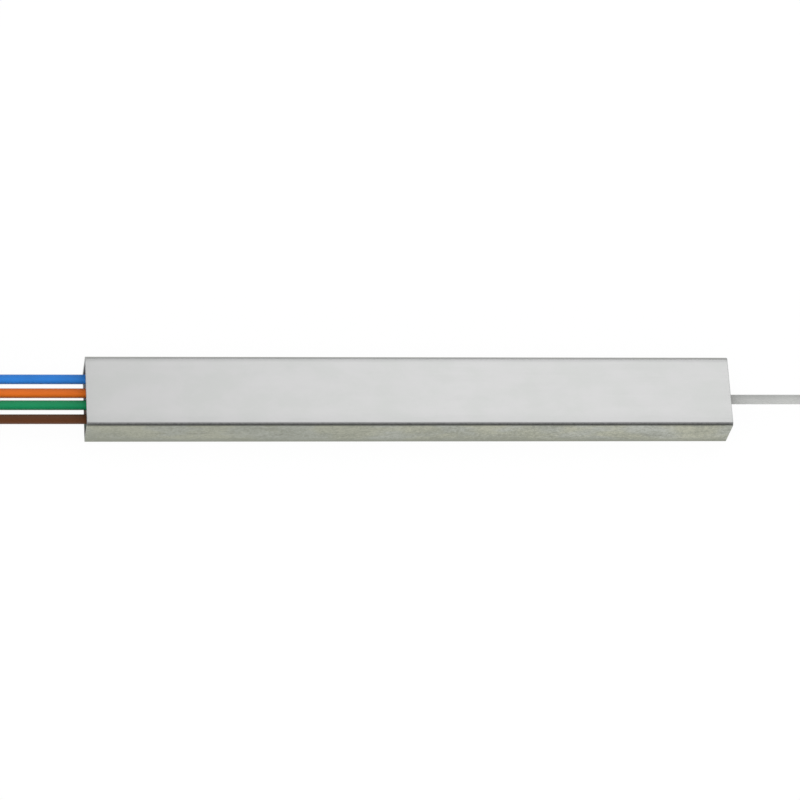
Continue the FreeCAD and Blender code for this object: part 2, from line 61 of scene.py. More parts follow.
# The places of a half circle's control points in degrees, and half the angle between two of them.
BEND_DEGREES = range(-75, 90, 30)
HALF_STEP = math.radians(BEND_DEGREES.step / 2)

Colour = tuple[float, float, float]
Span = tuple[float, float]
Socket = bpy.types.NodeSocket


def linear(red: int, green: int, blue: int) -> Colour:
    """Turns a display colour into the linear one that shaders use.

    Args:
        red: Red from 0 to 255.
        green: Green from 0 to 255.
        blue: Blue from 0 to 255.

    Returns:
        The same colour as three linear numbers.
    """

    def channel(value: int) -> float:
        """Turns one display channel into a linear one."""
        share = value / 255
        return share / 12.92 if share <= 0.04045 else ((share + 0.055) / 1.055) ** 2.4

    return channel(red), channel(green), channel(blue)


# ---------------------------------------------------------------- node graphs


class Graph:
    """A node tree that is built step by step, with short calls for the nodes that finishes share."""

    def __init__(self, tree: bpy.types.NodeTree) -> None:
        """Takes over a node tree and empties it."""
        self.tree = tree
        self.tree.nodes.clear()

    def node(self, kind: str, inputs: dict | None = None, **settings: object) -> bpy.types.Node:
        """Adds a node.

        Args:
            kind: The node's type name.
            inputs: What goes into its sockets, by socket name or number: a socket or a constant.
            **settings: Attributes of the node itself.

        Returns:
            The new node.
        """
        made = self.tree.nodes.new(kind)
        for name, value in settings.items():
            setattr(made, name, value)
        for key, value in (inputs or {}).items():
            if isinstance(value, Socket):
                self.tree.links.new(value, made.inputs[key])
            else:
                made.inputs[key].default_value = value
        return made

    def math(self, operation: str, first: Socket | float, second: Socket | float = 0.0) -> Socket:
        """Works out one sum on two values and returns the result's socket."""
        return self.node("ShaderNodeMath", {0: first, 1: second}, operation=operation).outputs[0]

    def spread(
        self, value: Socket, low: float, high: float, to_low: float = 0.0, to_high: float = 1.0
    ) -> Socket:
        """Maps a range of values to another, smoothly and with its ends held.

        Args:
            value: The socket to map.
            low: Where the first range starts.
            high: Where the first range ends.
            to_low: What low becomes.
            to_high: What high becomes.

        Returns:
            The mapped value's socket.
        """
        inputs = {"Value": value, "From Min": low, "From Max": high, "To Min": to_low, "To Max": to_high}
        made = self.node("ShaderNodeMapRange", inputs, interpolation_type="SMOOTHSTEP")
        return made.outputs["Result"]

    def blend(self, share: Socket | float, first: Socket | Colour, second: Socket | Colour) -> Socket:
        """Mixes two colours.

        Args:
            share: How much of the second colour there is, from 0 to 1.
            first: The first colour.
            second: The second colour.

        Returns:
            The mixed colour's socket.
        """
        made = self.node("ShaderNodeMix", data_type="RGBA")
        share_in, first_in, second_in = made.inputs[0], made.inputs[6], made.inputs[7]
        for socket, value in ((share_in, share), (first_in, first), (second_in, second)):
            if isinstance(value, Socket):
                self.tree.links.new(value, socket)
            elif isinstance(value, tuple):
                socket.default_value = (*value, 1.0)
            else:
                socket.default_value = value
        return made.outputs[2]


class MaterialGraph(Graph):
    """The graph of one surface, with its principled shader."""

    def __init__(self, name: str, colour: Colour, **sockets: float) -> None:
        """Starts a material.

        Args:
            name: The material's name.
            colour: Its base colour until something is linked there.
            **sockets: Constants for the shader, with spaces written as underscores.
        """
        self.material = bpy.data.materials.new(name)
        self.material.use_nodes = True
        self.material.diffuse_color = (*colour, 1.0)
        super().__init__(self.material.node_tree)
        self.shader = self.node("ShaderNodeBsdfPrincipled", {"Base Color": (*colour, 1.0)})
        for key, value in sockets.items():
            self.shader.inputs[key.replace("_", " ")].default_value = value
        self.end = self.node("ShaderNodeOutputMaterial", {"Surface": self.shader.outputs[0]})

    def place(self, scale: tuple[float, float, float] = (1, 1, 1)) -> Socket:
        """Object coordinates in millimetres.

        Args:
            scale: How much they are stretched along each axis.

        Returns:
            The coordinates' socket.
        """
        point = self.node("ShaderNodeTexCoord").outputs["Object"]
        size = tuple(share / MM for share in scale)
        return self.node("ShaderNodeMapping", {"Vector": point, "Scale": size}).outputs[0]

    def noise(self, point: Socket, scale: float = 1.0, detail: float = 3.0, rough: float = 0.55) -> Socket:
        """Cloudy noise from 0 to 1.

        Args:
            point: The coordinates that it follows.
            scale: How many clouds there are to a unit.
            detail: How many finer layers it has.
            rough: How strong the finer layers are.

        Returns:
            The noise value's socket.
        """
        inputs = {"Vector": point, "Scale": scale, "Detail": detail, "Roughness": rough}
        return self.node("ShaderNodeTexNoise", inputs).outputs[0]

    def vary(self, noise: Socket, to_low: float, to_high: float) -> Socket:
        """Maps the range in which most of a noise lies to another."""
        return self.spread(noise, 0.3, 0.7, to_low, to_high)

    def wear(self, socket: str, value: Socket) -> None:
        """Links a value or colour to one of the shader's sockets."""
        self.tree.links.new(value, self.shader.inputs[socket])

    def relief(self, height: Socket, depth_mm: float, strength: float = 1.0) -> None:
        """Raises the surface where height is high.

        Args:
            height: The relief's socket, from 0 to 1.
            depth_mm: How far it stands out, in millimetres.
            strength: How much of it is felt.
        """
        inputs = {"Height": height, "Distance": depth_mm * MM, "Strength": strength}
        self.wear("Normal", self.node("ShaderNodeBump", inputs).outputs[0])


# ---------------------------------------------------------------- finishes


@dataclass(frozen=True)
class DrawnSteel:
    """Zinc-plated steel tube: satin broad faces, and narrow sides that are duller and mottled.

    Spans are in millimetres. One from an edge inwards gives where a finish starts, and where it is full.

    Attributes:
        half_width_mm: From the tube's middle to its narrow sides.
        height_mm: From the resting face to the broad upper face.
        face: Colour of the broad faces.
        dull: Colour of the faint clouds on them.
        side: Colour of the narrow sides.
        tarnished: Colour of the yellower patches on the sides.
        stain_and_shade: Colour of the mottling on the sides, and of the painted shade along their lower
            edge.
        smudge: Colour of the few darker smudges on the sides.
        edge_shade: Colour of the painted shade along the rounded long edges.
        side_span: Where the narrow sides' finish takes over, from the narrow side.
        face_span: Where the painted shade at the bends fades in, from the broad face.
        edge_shade_span: Where the painted shade at the bends fades in, from the narrow side.
        rear_edge_shade: How strong the painted shade is at the rear bends, next to 1 for the front ones.
        rear_roll: How strongly painted shade darkens the broad faces where they roll over to the rear.
        rear_roll_span: Where they do, from the rear side.
        front_roll: How strongly painted shade darkens them where they roll over to the front.
        front_roll_span: Where they do, from the front side.
        mottling: How strong the mottling is.
        dulling: How much duller the sides are at the output end.
        dulling_span: Where along the tube that starts to fade, and where it ends.
        smudging: How strong the smudges are.
        foot_shade: How strongly painted shade darkens the sides at their lower edge.
        foot_shade_span: The heights at which that starts to fade, and where it ends.
    """

    half_width_mm: float
    height_mm: float
    face: Colour = linear(172, 172, 172)
    dull: Colour = linear(169, 170, 169)
    side: Colour = linear(183, 186, 178)
    tarnished: Colour = linear(184, 185, 167)
    stain_and_shade: Colour = linear(136, 139, 126)
    smudge: Colour = linear(118, 119, 108)
    edge_shade: Colour = linear(98, 99, 99)
    side_span: Span = (0.22, 0.04)
    face_span: Span = (0.3, 0.08)
    edge_shade_span: Span = (0.4, 0.12)
    rear_edge_shade: float = 0.46
    rear_roll: float = 0.32
    rear_roll_span: Span = (0.72, 0.3)
    front_roll: float = 0.09
    front_roll_span: Span = (1.5, 0.25)
    mottling: float = 0.84
    dulling: float = 0.36
    dulling_span: Span = (-14.0, 14.0)
    smudging: float = 0.5
    foot_shade: float = 0.9
    foot_shade_span: Span = (0.2, 1.4)

    def build(self) -> bpy.types.Material:
        """Makes the material: plating clouds, drawing grain, side mottling, and painted shade along the
        bends and the sides' lower edge.

        Returns:
            The material.
        """
        graph = MaterialGraph("drawn_steel", self.face, Metallic=1.0, Roughness=0.34)
        along, across, up = graph.node("ShaderNodeSeparateXYZ", {0: graph.place()}).outputs
        start, full = (self.half_width_mm - inwards for inwards in self.side_span)
        on_side = graph.spread(graph.math("ABSOLUTE", across), start, full)
        mottle = graph.noise(graph.place((4.0, 5.0, 6.0)), rough=0.9)

        surface = graph.blend(on_side, self.broad_faces(graph), self.narrow_sides(graph, along, mottle))
        # Painted shade: the narrow sides darken towards their lower edge.
        foot_shade = graph.math("MULTIPLY", on_side, graph.spread(up, *self.foot_shade_span, self.foot_shade, 0.0))
        surface = graph.blend(foot_shade, surface, self.stain_and_shade)
        # Painted shade along the rounded long edges, broken into dashes by the mottling noise.
        shade_breakup = graph.spread(mottle, 0.35, 0.6, 1.0, 0.7)
        shade_share = graph.math("MULTIPLY", self.bends(graph, across, up), shade_breakup)
        graph.wear("Base Color", graph.blend(shade_share, surface, self.edge_shade))
        self.skin(graph, on_side)
        return graph.material

    def bends(self, graph: MaterialGraph, across: Socket, up: Socket) -> Socket:
        """Finds where painted shade goes: the bends, and the strips of the broad faces that roll over to
        them.

        Args:
            graph: The material's graph.
            across: The place across the tube.
            up: The height.

        Returns:
            How strong the painted shade is there, from 0 to 1.
        """
        middle = self.height_mm / 2
        start, full = (middle - inwards for inwards in self.face_span)
        off_middle = graph.math("ABSOLUTE", graph.math("SUBTRACT", up, middle))
        near_face = graph.spread(off_middle, start, full)
        start, full = (self.half_width_mm - inwards for inwards in self.edge_shade_span)
        near_side = graph.spread(graph.math("ABSOLUTE", across), start, full)
        # Painted shade: weaker at the rear bends, and also on the broad faces where they roll over to the
        # rear and front.
        front_more = graph.spread(across, -1.0, 1.0, 1.0, self.rear_edge_shade)
        start, full = (self.half_width_mm - inwards for inwards in self.rear_roll_span)
        rear_roll = graph.spread(across, start, full, 0.0, self.rear_roll)
        start, full = (inwards - self.half_width_mm for inwards in self.front_roll_span)
        front_roll = graph.spread(across, full, start, self.front_roll, 0.0)
        rolls = graph.math("MAXIMUM", rear_roll, front_roll)
        near_edge = graph.math("MAXIMUM", graph.math("MULTIPLY", near_side, front_more), rolls)
        return graph.math("MULTIPLY", near_face, near_edge)

    def broad_faces(self, graph: MaterialGraph) -> Socket:
        """The colour of the broad faces, with faint clouds in the plating."""
        clouds = graph.noise(graph.place((0.3, 0.45, 0.45)), detail=4.0, rough=0.6)
        return graph.blend(graph.spread(clouds, 0.35, 0.65), self.face, self.dull)

    def narrow_sides(self, graph: MaterialGraph, along: Socket, mottle: Socket) -> Socket:
        """Mixes the colour of the narrow sides.

        Args:
            graph: The material's graph.
            along: The place along the tube.
            mottle: The fine noise of the mottling.

        Returns:
            The colour's socket.
        """
        tarnish = graph.noise(graph.place((0.25, 0.5, 0.5)))
        plain = graph.blend(graph.spread(tarnish, 0.4, 0.6), self.side, self.tarnished)
        patches = graph.noise(graph.place((0.14, 0.3, 0.4)), detail=2.0)
        fine, coarse = graph.math("MULTIPLY", mottle, 0.7), graph.math("MULTIPLY", patches, 0.3)
        spots = graph.spread(graph.math("ADD", fine, coarse), 0.41, 0.6, 0.0, self.mottling)
        stained = graph.blend(spots, plain, self.stain_and_shade)
        duller_end = graph.spread(along, *self.dulling_span, self.dulling, 0.0)
        stained = graph.blend(duller_end, stained, self.stain_and_shade)
        smudges = graph.noise(graph.place((0.35, 1.3, 1.3)), rough=0.75)
        return graph.blend(graph.spread(smudges, 0.58, 0.72, 0.0, self.smudging), stained, self.smudge)

    def skin(self, graph: MaterialGraph, on_side: Socket) -> None:
        """Gives the steel its gloss and its relief: drawing lines everywhere, and pits on the sides.

        Args:
            graph: The material's graph.
            on_side: Where the narrow sides are.
        """
        grain = graph.noise(graph.place((0.12, 14.0, 14.0)), detail=4.0, rough=0.6)
        rougher_side = graph.math("MULTIPLY", on_side, 0.1)
        graph.wear("Roughness", graph.math("ADD", graph.vary(grain, 0.31, 0.33), rougher_side))
        pits = graph.math("MULTIPLY", graph.noise(graph.place(), scale=6.0, detail=5.0, rough=0.65), on_side)
        height = graph.math("ADD", graph.math("MULTIPLY", grain, 0.08), pits)
        graph.relief(height, depth_mm=0.012, strength=0.5)


@dataclass(frozen=True)
class ExtrudedPlastic:
    """The smooth, slightly glossy jacket of a loose tube.

    Attributes:
        name: The material's name.
        colour: The jacket's colour.
        shade: How bright its darker clouds are, next to the colour.
        clouding: How much the clouds show.
    """

    name: str
    colour: Colour
    shade: float = 0.86
    clouding: float = 0.5

    def build(self) -> bpy.types.Material:
        """Makes the material, with faint colour clouds and a fine skin.

        Returns:
            The material.
        """
        graph = MaterialGraph(self.name, self.colour, Roughness=0.42, Specular_IOR_Level=0.2)
        point = graph.place()
        clouds = graph.noise(point, scale=0.35)
        dark = tuple(self.shade * share for share in self.colour)
        graph.wear("Base Color", graph.blend(graph.vary(clouds, 0.0, self.clouding), self.colour, dark))
        grain = graph.noise(point, scale=9.0, detail=4.0, rough=0.6)
        graph.wear("Roughness", graph.vary(grain, 0.38, 0.5))
        graph.relief(grain, depth_mm=0.004, strength=0.4)
        return graph.material


@dataclass(frozen=True)
class Speckled:
    """A plain moulded or cast finish with fine speckle, clouds and an orange-peel skin.

    Attributes:
        name: The material's name.
        colour: The main colour.
        second: The colour of the clouds.
        roughness: The surface's mean roughness.
        grain: How many specks there are to a millimetre.
        depth_mm: How deep the skin's relief is.
        sockets: Further constants for the shader, as name and value pairs.
    """

    name: str
    colour: Colour
    second: Colour
    roughness: float
    grain: float = 5.0
    depth_mm: float = 0.01
    sockets: tuple[tuple[str, float], ...] = ()

    def build(self) -> bpy.types.Material:
        """Makes the material.

        Returns:
            The material.
        """
        graph = MaterialGraph(self.name, self.colour, **dict(self.sockets))
        point = graph.place()
        clouds = graph.noise(point, scale=0.6, detail=4.0)
        specks = graph.noise(point, scale=self.grain, detail=4.0, rough=0.7)
        fine = graph.spread(specks, 0.35, 0.65)
        share = graph.math("MULTIPLY", graph.vary(clouds, 0.2, 1.0), fine)
        graph.wear("Base Color", graph.blend(share, self.colour, self.second))
        low, high = max(0.02, self.roughness - 0.08), min(1.0, self.roughness + 0.08)
        graph.wear("Roughness", graph.vary(specks, low, high))
        graph.relief(specks, self.depth_mm, strength=0.6)
        return graph.material


@dataclass(frozen=True)
class RolledSheet:
    """Folded aluminium sheet with its rolling lines along the channel.

    Attributes:
        colour: The bright metal's colour.
        dull: The colour of its clouds.
        clouding: How much the clouds show.
    """

    colour: Colour = linear(200, 202, 204)
    dull: Colour = linear(168, 170, 172)
    clouding: float = 0.7

    def build(self) -> bpy.types.Material:
        """Makes the material.

        Returns:
            The material.
        """
        graph = MaterialGraph("rolled_aluminium", self.colour, Metallic=1.0, Roughness=0.3)
        lines = graph.noise(graph.place((0.2, 22.0, 22.0)), detail=4.0, rough=0.6)
        clouds = graph.noise(graph.place(), scale=0.4)
        graph.wear("Base Color", graph.blend(graph.vary(clouds, 0.0, self.clouding), self.colour, self.dull))
        graph.wear("Roughness", graph.vary(lines, 0.22, 0.4))
        graph.relief(lines, depth_mm=0.006, strength=0.5)
        return graph.material


class Jacket(Enum):
    """The colours of the loose tubes, and of the fibre coatings inside them."""

    BLUE = linear(38, 113, 192)
    ORANGE = linear(200, 97, 24)
    GREEN = linear(14, 124, 78)
    BROWN = linear(77, 42, 18)
    GREY = linear(166, 167, 165)


# ---------------------------------------------------------------- making pieces


def add_piece(mesh: bmesh.types.BMesh, name: str, material: bpy.types.Material) -> bpy.types.Object:
    """Turns a bmesh into a piece that rides on the part.

    Args:
        mesh: The finished bmesh, which is freed.
        name: The piece's name.
        material: Its material.

    Returns:
        The new object, at the origin and with its place in its mesh.
    """
    data = bpy.data.meshes.new(name)
    for face in mesh.faces:
        face.smooth = True
    mesh.to_mesh(data)
    mesh.free()
    data.materials.append(material)
    piece = bpy.data.objects.new(name, data)
    bpy.context.scene.collection.objects.link(piece)
    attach(piece, BODY)
    return piece


def round_edges(mesh: bmesh.types.BMesh, edges: list, radius: float, segments: int) -> None:
    """Rounds some edges.

    Args:
        mesh: The bmesh that they belong to.
        edges: The edges.
        radius: How far the rounding reaches.
        segments: How many faces it has.
    """
    bmesh.ops.bevel(
        mesh, geom=edges, offset=radius, segments=segments, profile=0.5, affect="EDGES", material=-1
    )


def sleeve(size: Vector, centre: Vector, corner: float, wall: float, segments: int) -> bmesh.types.BMesh:
    """Makes a rectangular tube along X with round corners.

    Args:
        size: Its outer size.
        centre: Its middle.
        corner: The outer corners' radius.
        wall: The wall's thickness.
        segments: How many faces each corner has.

    Returns:
        A closed bmesh, with the tube's inside bridged from end to end.
    """
    mesh = bmesh.new()
    bmesh.ops.create_cube(mesh, size=1.0)
    bmesh.ops.scale(mesh, vec=size, verts=mesh.verts)
    bmesh.ops.translate(mesh, vec=centre, verts=mesh.verts)
    along = [e for e in mesh.edges if abs(e.verts[0].co.x - e.verts[1].co.x) > size.x / 2]
    round_edges(mesh, along, corner, segments)
    ends = [f for f in mesh.faces if abs(f.normal.x) > FACING]
    bmesh.ops.inset_individual(mesh, faces=ends, thickness=wall, use_even_offset=True)
    loops = [e for f in ends for e in f.edges]
    bmesh.ops.delete(mesh, geom=ends, context="FACES_ONLY")
    bmesh.ops.bridge_loops(mesh, edges=loops)
    bmesh.ops.recalc_face_normals(mesh, faces=mesh.faces)
    return mesh


def hold_flats(piece: bpy.types.Object) -> None:
    """Keeps broad faces flat in the shading, so that only the round corners look round.

    Args:
        piece: The piece that has the faces.
    """
    modifier = piece.modifiers.new("flat_faces", "WEIGHTED_NORMAL")
    modifier.mode = "FACE_AREA"
    modifier.weight = 100
    modifier.keep_sharp = True


@dataclass
class Housing:
    """The rectangular steel tube.

    Attributes:
        wall: The steel's thickness.
        corner: The long edges' outer radius.
        rim: How far the cut ends are deburred.
        corner_segments: How many faces each long edge has.
        rim_segments: How many faces each deburred edge has.
        slices: How many even lengths its faces are divided into.
    """

    wall: float = 0.25 * MM
    corner: float = 0.35 * MM
    rim: float = 0.05 * MM
    corner_segments: int = 10
    rim_segments: int = 3
    slices: int = 60

    def build(self) -> None:
        """Makes the tube and dresses it."""
        low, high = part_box("steel_tube")
        mesh = sleeve(high - low, (low + high) / 2, self.corner, self.wall, self.corner_segments)
        round_edges(mesh, self.cut_edges(mesh, low.x, high.x), self.rim, self.rim_segments)
        self.slice(mesh, low.x, high.x)
        steel = DrawnSteel(half_width_mm=high.y / MM, height_mm=high.z / MM).build()
        piece = add_piece(mesh, "housing_tube", steel)
        hold_flats(piece)
        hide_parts("steel_tube")
        LOG.info("made %s", piece.name)

    def cut_edges(self, mesh: bmesh.types.BMesh, start: float, end: float) -> list[bmesh.types.BMEdge]:
        """Finds the edges round the tube's two cut ends, outside and inside.

        Args:
            mesh: The tube.
            start: X of its first end.
            end: X of its other end.

        Returns:
            The edges that lie at an end, between its cut face and a face along the tube.
        """
        return [
            e
            for e in mesh.edges
            if all(min(abs(v.co.x - start), abs(v.co.x - end)) < TOUCHING for v in e.verts)
            and len({abs(f.normal.x) > FACING for f in e.link_faces}) == 2
        ]

    def slice(self, mesh: bmesh.types.BMesh, start: float, end: float) -> None:
        """Cuts the tube's faces across at even steps.

        Args:
            mesh: The tube.
            start: X of its first end.
            end: X of its other end.
        """
        step = (end - start) / self.slices
        for i in range(1, self.slices):
            bmesh.ops.bisect_plane(
                mesh,
                geom=[*mesh.verts, *mesh.edges, *mesh.faces],
                plane_co=(start + i * step, 0, 0),
                plane_no=(1, 0, 0),
            )


# ---------------------------------------------------------------- loose tubes


@dataclass(frozen=True)
class Winding:
    """The turns of one tied hank: side by side in slots from the outside in, and in layers going up.

    Attributes:
        node: The solid that the turns fill.
        way: The way along X from the housing to the hank, -1 or 1.
        straight: Length of the hank's straight runs.
        outer_radius: Radius of the middle of the outermost turn.
        bulk_radius: Radius of the solid round its end.
        slots: How many turns lie side by side.
        starts: How many loose tubes are wound together.
        pitch: From one turn to the next.
        swell: How far a turn steps out of line where it climbs to the next layer.
        bed_z: Height of the first layer's middle.
    """

    node: str
    way: int
    straight: float
    outer_radius: float
    bulk_radius: float
    slots: int
    starts: int
    pitch: float = 0.92 * MM
    swell: float = 0.28 * MM
    bed_z: float = 0.75 * MM

    def centres(self) -> tuple[float, float, float]:
        """Finds the centres of the hank's round ends.

        Returns:
            X of the near end's centre, X of the far end's, and Y of both.
        """
        low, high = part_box(self.node)
        tip = low.x if self.way < 0 else high.x
        far_x = tip - self.way * self.bulk_radius
        return far_x - self.way * self.straight, far_x, high.y - self.bulk_radius

    def seat(self, place: float) -> tuple[float, float]:
        """Where a turn lies.

        Args:
            place: How many turns were wound before it.

        Returns:
            Its radius round the hank's ends, and its height.
        """
        layer, along = divmod(place, self.slots)
        inward = layer % 2 == 0
        climb = max(0.0, along - (self.slots - 1))
        across = min(along, self.slots - 1)
        slot = across if inward else self.slots - 1 - across
        step_out = self.swell * math.sin(math.pi * climb) * (-1 if inward else 1)
        return self.outer_radius - slot * self.pitch + step_out, self.bed_z + self.pitch * (layer + climb)

    def half_lap(self, first: float, front: bool) -> list[Vector]:
        """Control points of one straight and the half circle after it.

        Args:
            first: The place at which the half lap starts.
            front: Whether it is the front straight and far end, or the rear straight and near end.

        Returns:
            Eight points.
        """
        near_x, far_x, centre_y = self.centres()
        start_x, end_x = (near_x, far_x) if front else (far_x, near_x)
        way = self.way if front else -self.way
        side = -1 if front else 1
        mean_radius = self.outer_radius - (self.slots - 1) * self.pitch / 2
        length = self.straight + math.pi * mean_radius
        lead = mean_radius * math.tan(HALF_STEP)
        points = []
        for travelled, from_x in ((lead, start_x), (self.straight - lead, end_x)):
            radius, z = self.seat(first + self.starts / 2 * travelled / length)
            reach = radius * math.tan(HALF_STEP)
            x = from_x + way * reach if from_x == start_x else from_x - way * reach
            points.append(Vector((x, centre_y + side * radius, z)))
        for degrees in BEND_DEGREES:
            travelled = self.straight + mean_radius * math.radians(degrees + 90)
            radius, z = self.seat(first + self.starts / 2 * travelled / length)
            reach = radius / math.cos(HALF_STEP)
            angle = math.radians(degrees)
            x = end_x + way * reach * math.cos(angle)
            points.append(Vector((x, centre_y - side * reach * math.sin(angle), z)))
        return points

    def turns(self, start_slot: int, half_laps: int, past_tie: float) -> list[Vector]:
        """Control points of one loose tube's turns, from the row that leads in to its bare end.

        Args:
            start_slot: The slot that the tube starts in.
            half_laps: How many straights with their half circles it has.
            past_tie: How far its end lies past the middle of the last straight.

        Returns:
            The points in order.
        """
        points: list[Vector] = []
        for i in range(half_laps):
            points += self.half_lap(start_slot + self.starts * i / 2, i % 2 == 0)
        near_x, far_x, _ = self.centres()
        last = self.half_lap(start_slot + self.starts * half_laps / 2, half_laps % 2 == 0)[:2]
        way = self.way if half_laps % 2 == 0 else -self.way
        end_x = (near_x + far_x) / 2 + way * past_tie
        share = (end_x - last[0].x) / (last[1].x - last[0].x)
        return [*points, last[0], last[0].lerp(last[1], share)]


@dataclass(frozen=True)
class LooseTube:
    """One loose tube with its fibre: out of the housing, down to the table and into its hank.

    Attributes:
        name: The piece's name.
        node: The solid of its first stretch.
        jacket: Its colour.
        slot: A material slot's name; not used.
        way: The way along X that it leaves, -1 or 1.
        outlet_y: Where it leaves the housing.
        row_y: Where it reaches the hank's row.
        drop_x: Where it starts to drop.
        straight_x: A point on the straight stretch outside the housing.
        start_slot: Its first slot in the hank.
        half_laps: How many half laps it has in the hank.
        diameter: Its outer diameter.
        length: Its real length; not used.
        inner_x: Where its curve starts, inside the housing.
        exit_x: Where the housing ends; not used.
        axis_z: Height of its middle where it leaves.
        drop_run: How far along X it drops.
        lead_run: How far along X it then runs into the hank.
        past_tie: How far its bare end lies past the middle of the last straight.
        smoothness: How many steps the curve has from one control point to the next.
        roundness: How finely a quarter of its section is divided.
    """

    name: str
    node: str
    jacket: Jacket
    slot: str
    way: int
    outlet_y: float
    row_y: float
    drop_x: float
    straight_x: float
    start_slot: int
    half_laps: int
    diameter: float = 0.9 * MM
    length: float = 1.0
    inner_x: float = 20.0 * MM
    exit_x: float = 30.0 * MM
    axis_z: float = 2.0 * MM
    drop_run: float = 3.3 * MM
    lead_run: float = 2.1 * MM
    past_tie: float = 4.5 * MM
    smoothness: int = 6
    roundness: int = 4

    def route(self, winding: Winding) -> list[Vector]:
        """Lays out the tube.

        Args:
            winding: The hank that it goes into.

        Returns:
            The control points from inside the housing to the bare end.
        """
        stations = [
            (self.inner_x, self.outlet_y, self.axis_z),
            (self.straight_x, self.outlet_y, self.axis_z),
            (self.drop_x, self.outlet_y, self.axis_z),
            (self.drop_x + self.drop_run, self.row_y, winding.bed_z),
            (self.drop_x + self.drop_run + self.lead_run, self.row_y, winding.bed_z),
        ]
        lead = [Vector((self.way * x, y, z)) for x, y, z in stations]
        return lead + winding.turns(self.start_slot, self.half_laps, self.past_tie)

    def build(self, winding: Winding, hank: str, ties: list[bpy.types.Object]) -> None:
        """Args:
            winding: The hank that it goes into.
            hank: The node of that hank.
            ties: The twist ties round the hank; not used.
        """
        data = bpy.data.curves.new(self.name, "CURVE")
        data.dimensions = "3D"
        data.resolution_u = self.smoothness
        data.bevel_depth = self.diameter / 2
        data.bevel_resolution = self.roundness
        data.use_fill_caps = True
        points = self.route(winding)
        spline = data.splines.new("NURBS")
        spline.points.add(len(points) - 1)
        for target, point in zip(spline.points, points):
            target.co = (*point, 1.0)
        spline.order_u = 3
        spline.use_endpoint_u = True
        spline.use_smooth = True
        data.materials.append(ExtrudedPlastic(self.name, self.jacket.value).build())
        piece = bpy.data.objects.new(self.name, data)
        bpy.context.scene.collection.objects.link(piece)
        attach(piece, BODY)
        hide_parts(self.node, hank)
        LOG.info("laid %s", piece.name)


@dataclass(frozen=True)
class TwistTie:
    """A flat plastic tie with a wire core, round one straight of a hank and twisted on top.

    Attributes:
        node: The solid that it stands for.
        way: The way along X that its tail points.
        width: The strip's width.
        thickness: The strip's thickness.
        tail_length: How long the twisted ends are.
        tail_turns: How many turns they make.
        ridge: How far the wire core stands out.
        ridge_share: How much of the width the ridge takes.
        seam: How far the twisted ends stay off their axis, as a share of the thickness.
        corner: The band's outer corner radius.
        corner_segments: How many faces each corner has.
        tail_steps: How many steps the twist has.
        rim: How far the strip's cut edges are rounded.
        rim_segments: How many faces each of them has.
        sharp: The angle from which an edge counts as cut.
    """

    node: str
    way: int
    width: float = 2.4 * MM
    thickness: float = 0.3 * MM
    tail_length: float = 6.0 * MM
    tail_turns: float = 1.5
    ridge: float = 0.09 * MM
    ridge_share: float = 0.3
    seam: float = 0.1
    corner: float = 0.6 * MM
    corner_segments: int = 6
    tail_steps: int = 40
    rim: float = 0.05 * MM
    rim_segments: int = 2
    sharp: float = math.radians(60)

    def build(self, plastic: bpy.types.Material) -> bpy.types.Object:
        """Makes the band and its twisted tail in one piece.

        Args:
            plastic: The tie's material.

        Returns:
            The tie's piece.
        """
        low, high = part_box(self.node)
        near_x = high.x if self.way < 0 else low.x
        band_x = near_x + self.way * self.width / 2
        band_top = high.z - (self.width + (self.width - self.thickness)) / 2
        size = Vector((self.width, high.y - low.y, band_top - low.z))
        centre = Vector((band_x, (low.y + high.y) / 2, (low.z + band_top) / 2))
        mesh = sleeve(size, centre, self.corner, self.thickness, self.corner_segments)
        self.add_tail(mesh, Vector((band_x, centre.y, band_top)))
        rims = [e for e in mesh.edges if e.is_manifold and e.calc_face_angle() > self.sharp]
        round_edges(mesh, rims, self.rim, self.rim_segments)
        piece = add_piece(mesh, self.node + "_strip", plastic)
        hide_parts(self.node)
        LOG.info("tied %s", piece.name)
        return piece

    def add_tail(self, mesh: bmesh.types.BMesh, start: Vector) -> None:
        """Adds two strips that are twisted round each other along X.

        Args:
            mesh: The band.
            start: Where they leave it, in the middle of its top.
        """
        axis_z = start.z + (self.width - self.thickness) / 2
        half = self.width / 2
        crest = 1 + self.ridge / self.thickness
        shares = (-1.0, -self.ridge_share, 0.0, self.ridge_share, 1.0)
        inner = [(share * half, self.seam) for share in shares]
        outer = [(-share * half, height) for share, height in zip(shares, (1.0, 1.0, crest, 1.0, 1.0))]
        for side in (-1, 1):
            corners = [(y, side * z * self.thickness) for y, z in inner + outer]
            verts = [mesh.verts.new((start.x, start.y + y, axis_z + z)) for y, z in corners]
            bmesh.ops.spin(
                mesh,
                geom=[mesh.faces.new(verts)],
                cent=(start.x, start.y, axis_z),
                axis=(1, 0, 0),
                dvec=(self.way * self.tail_length / self.tail_steps, 0, 0),
                angle=2 * math.pi * self.tail_turns,
                steps=self.tail_steps,
            )
        bmesh.ops.recalc_face_normals(mesh, faces=mesh.faces)


# ---------------------------------------------------------------- inside the housing


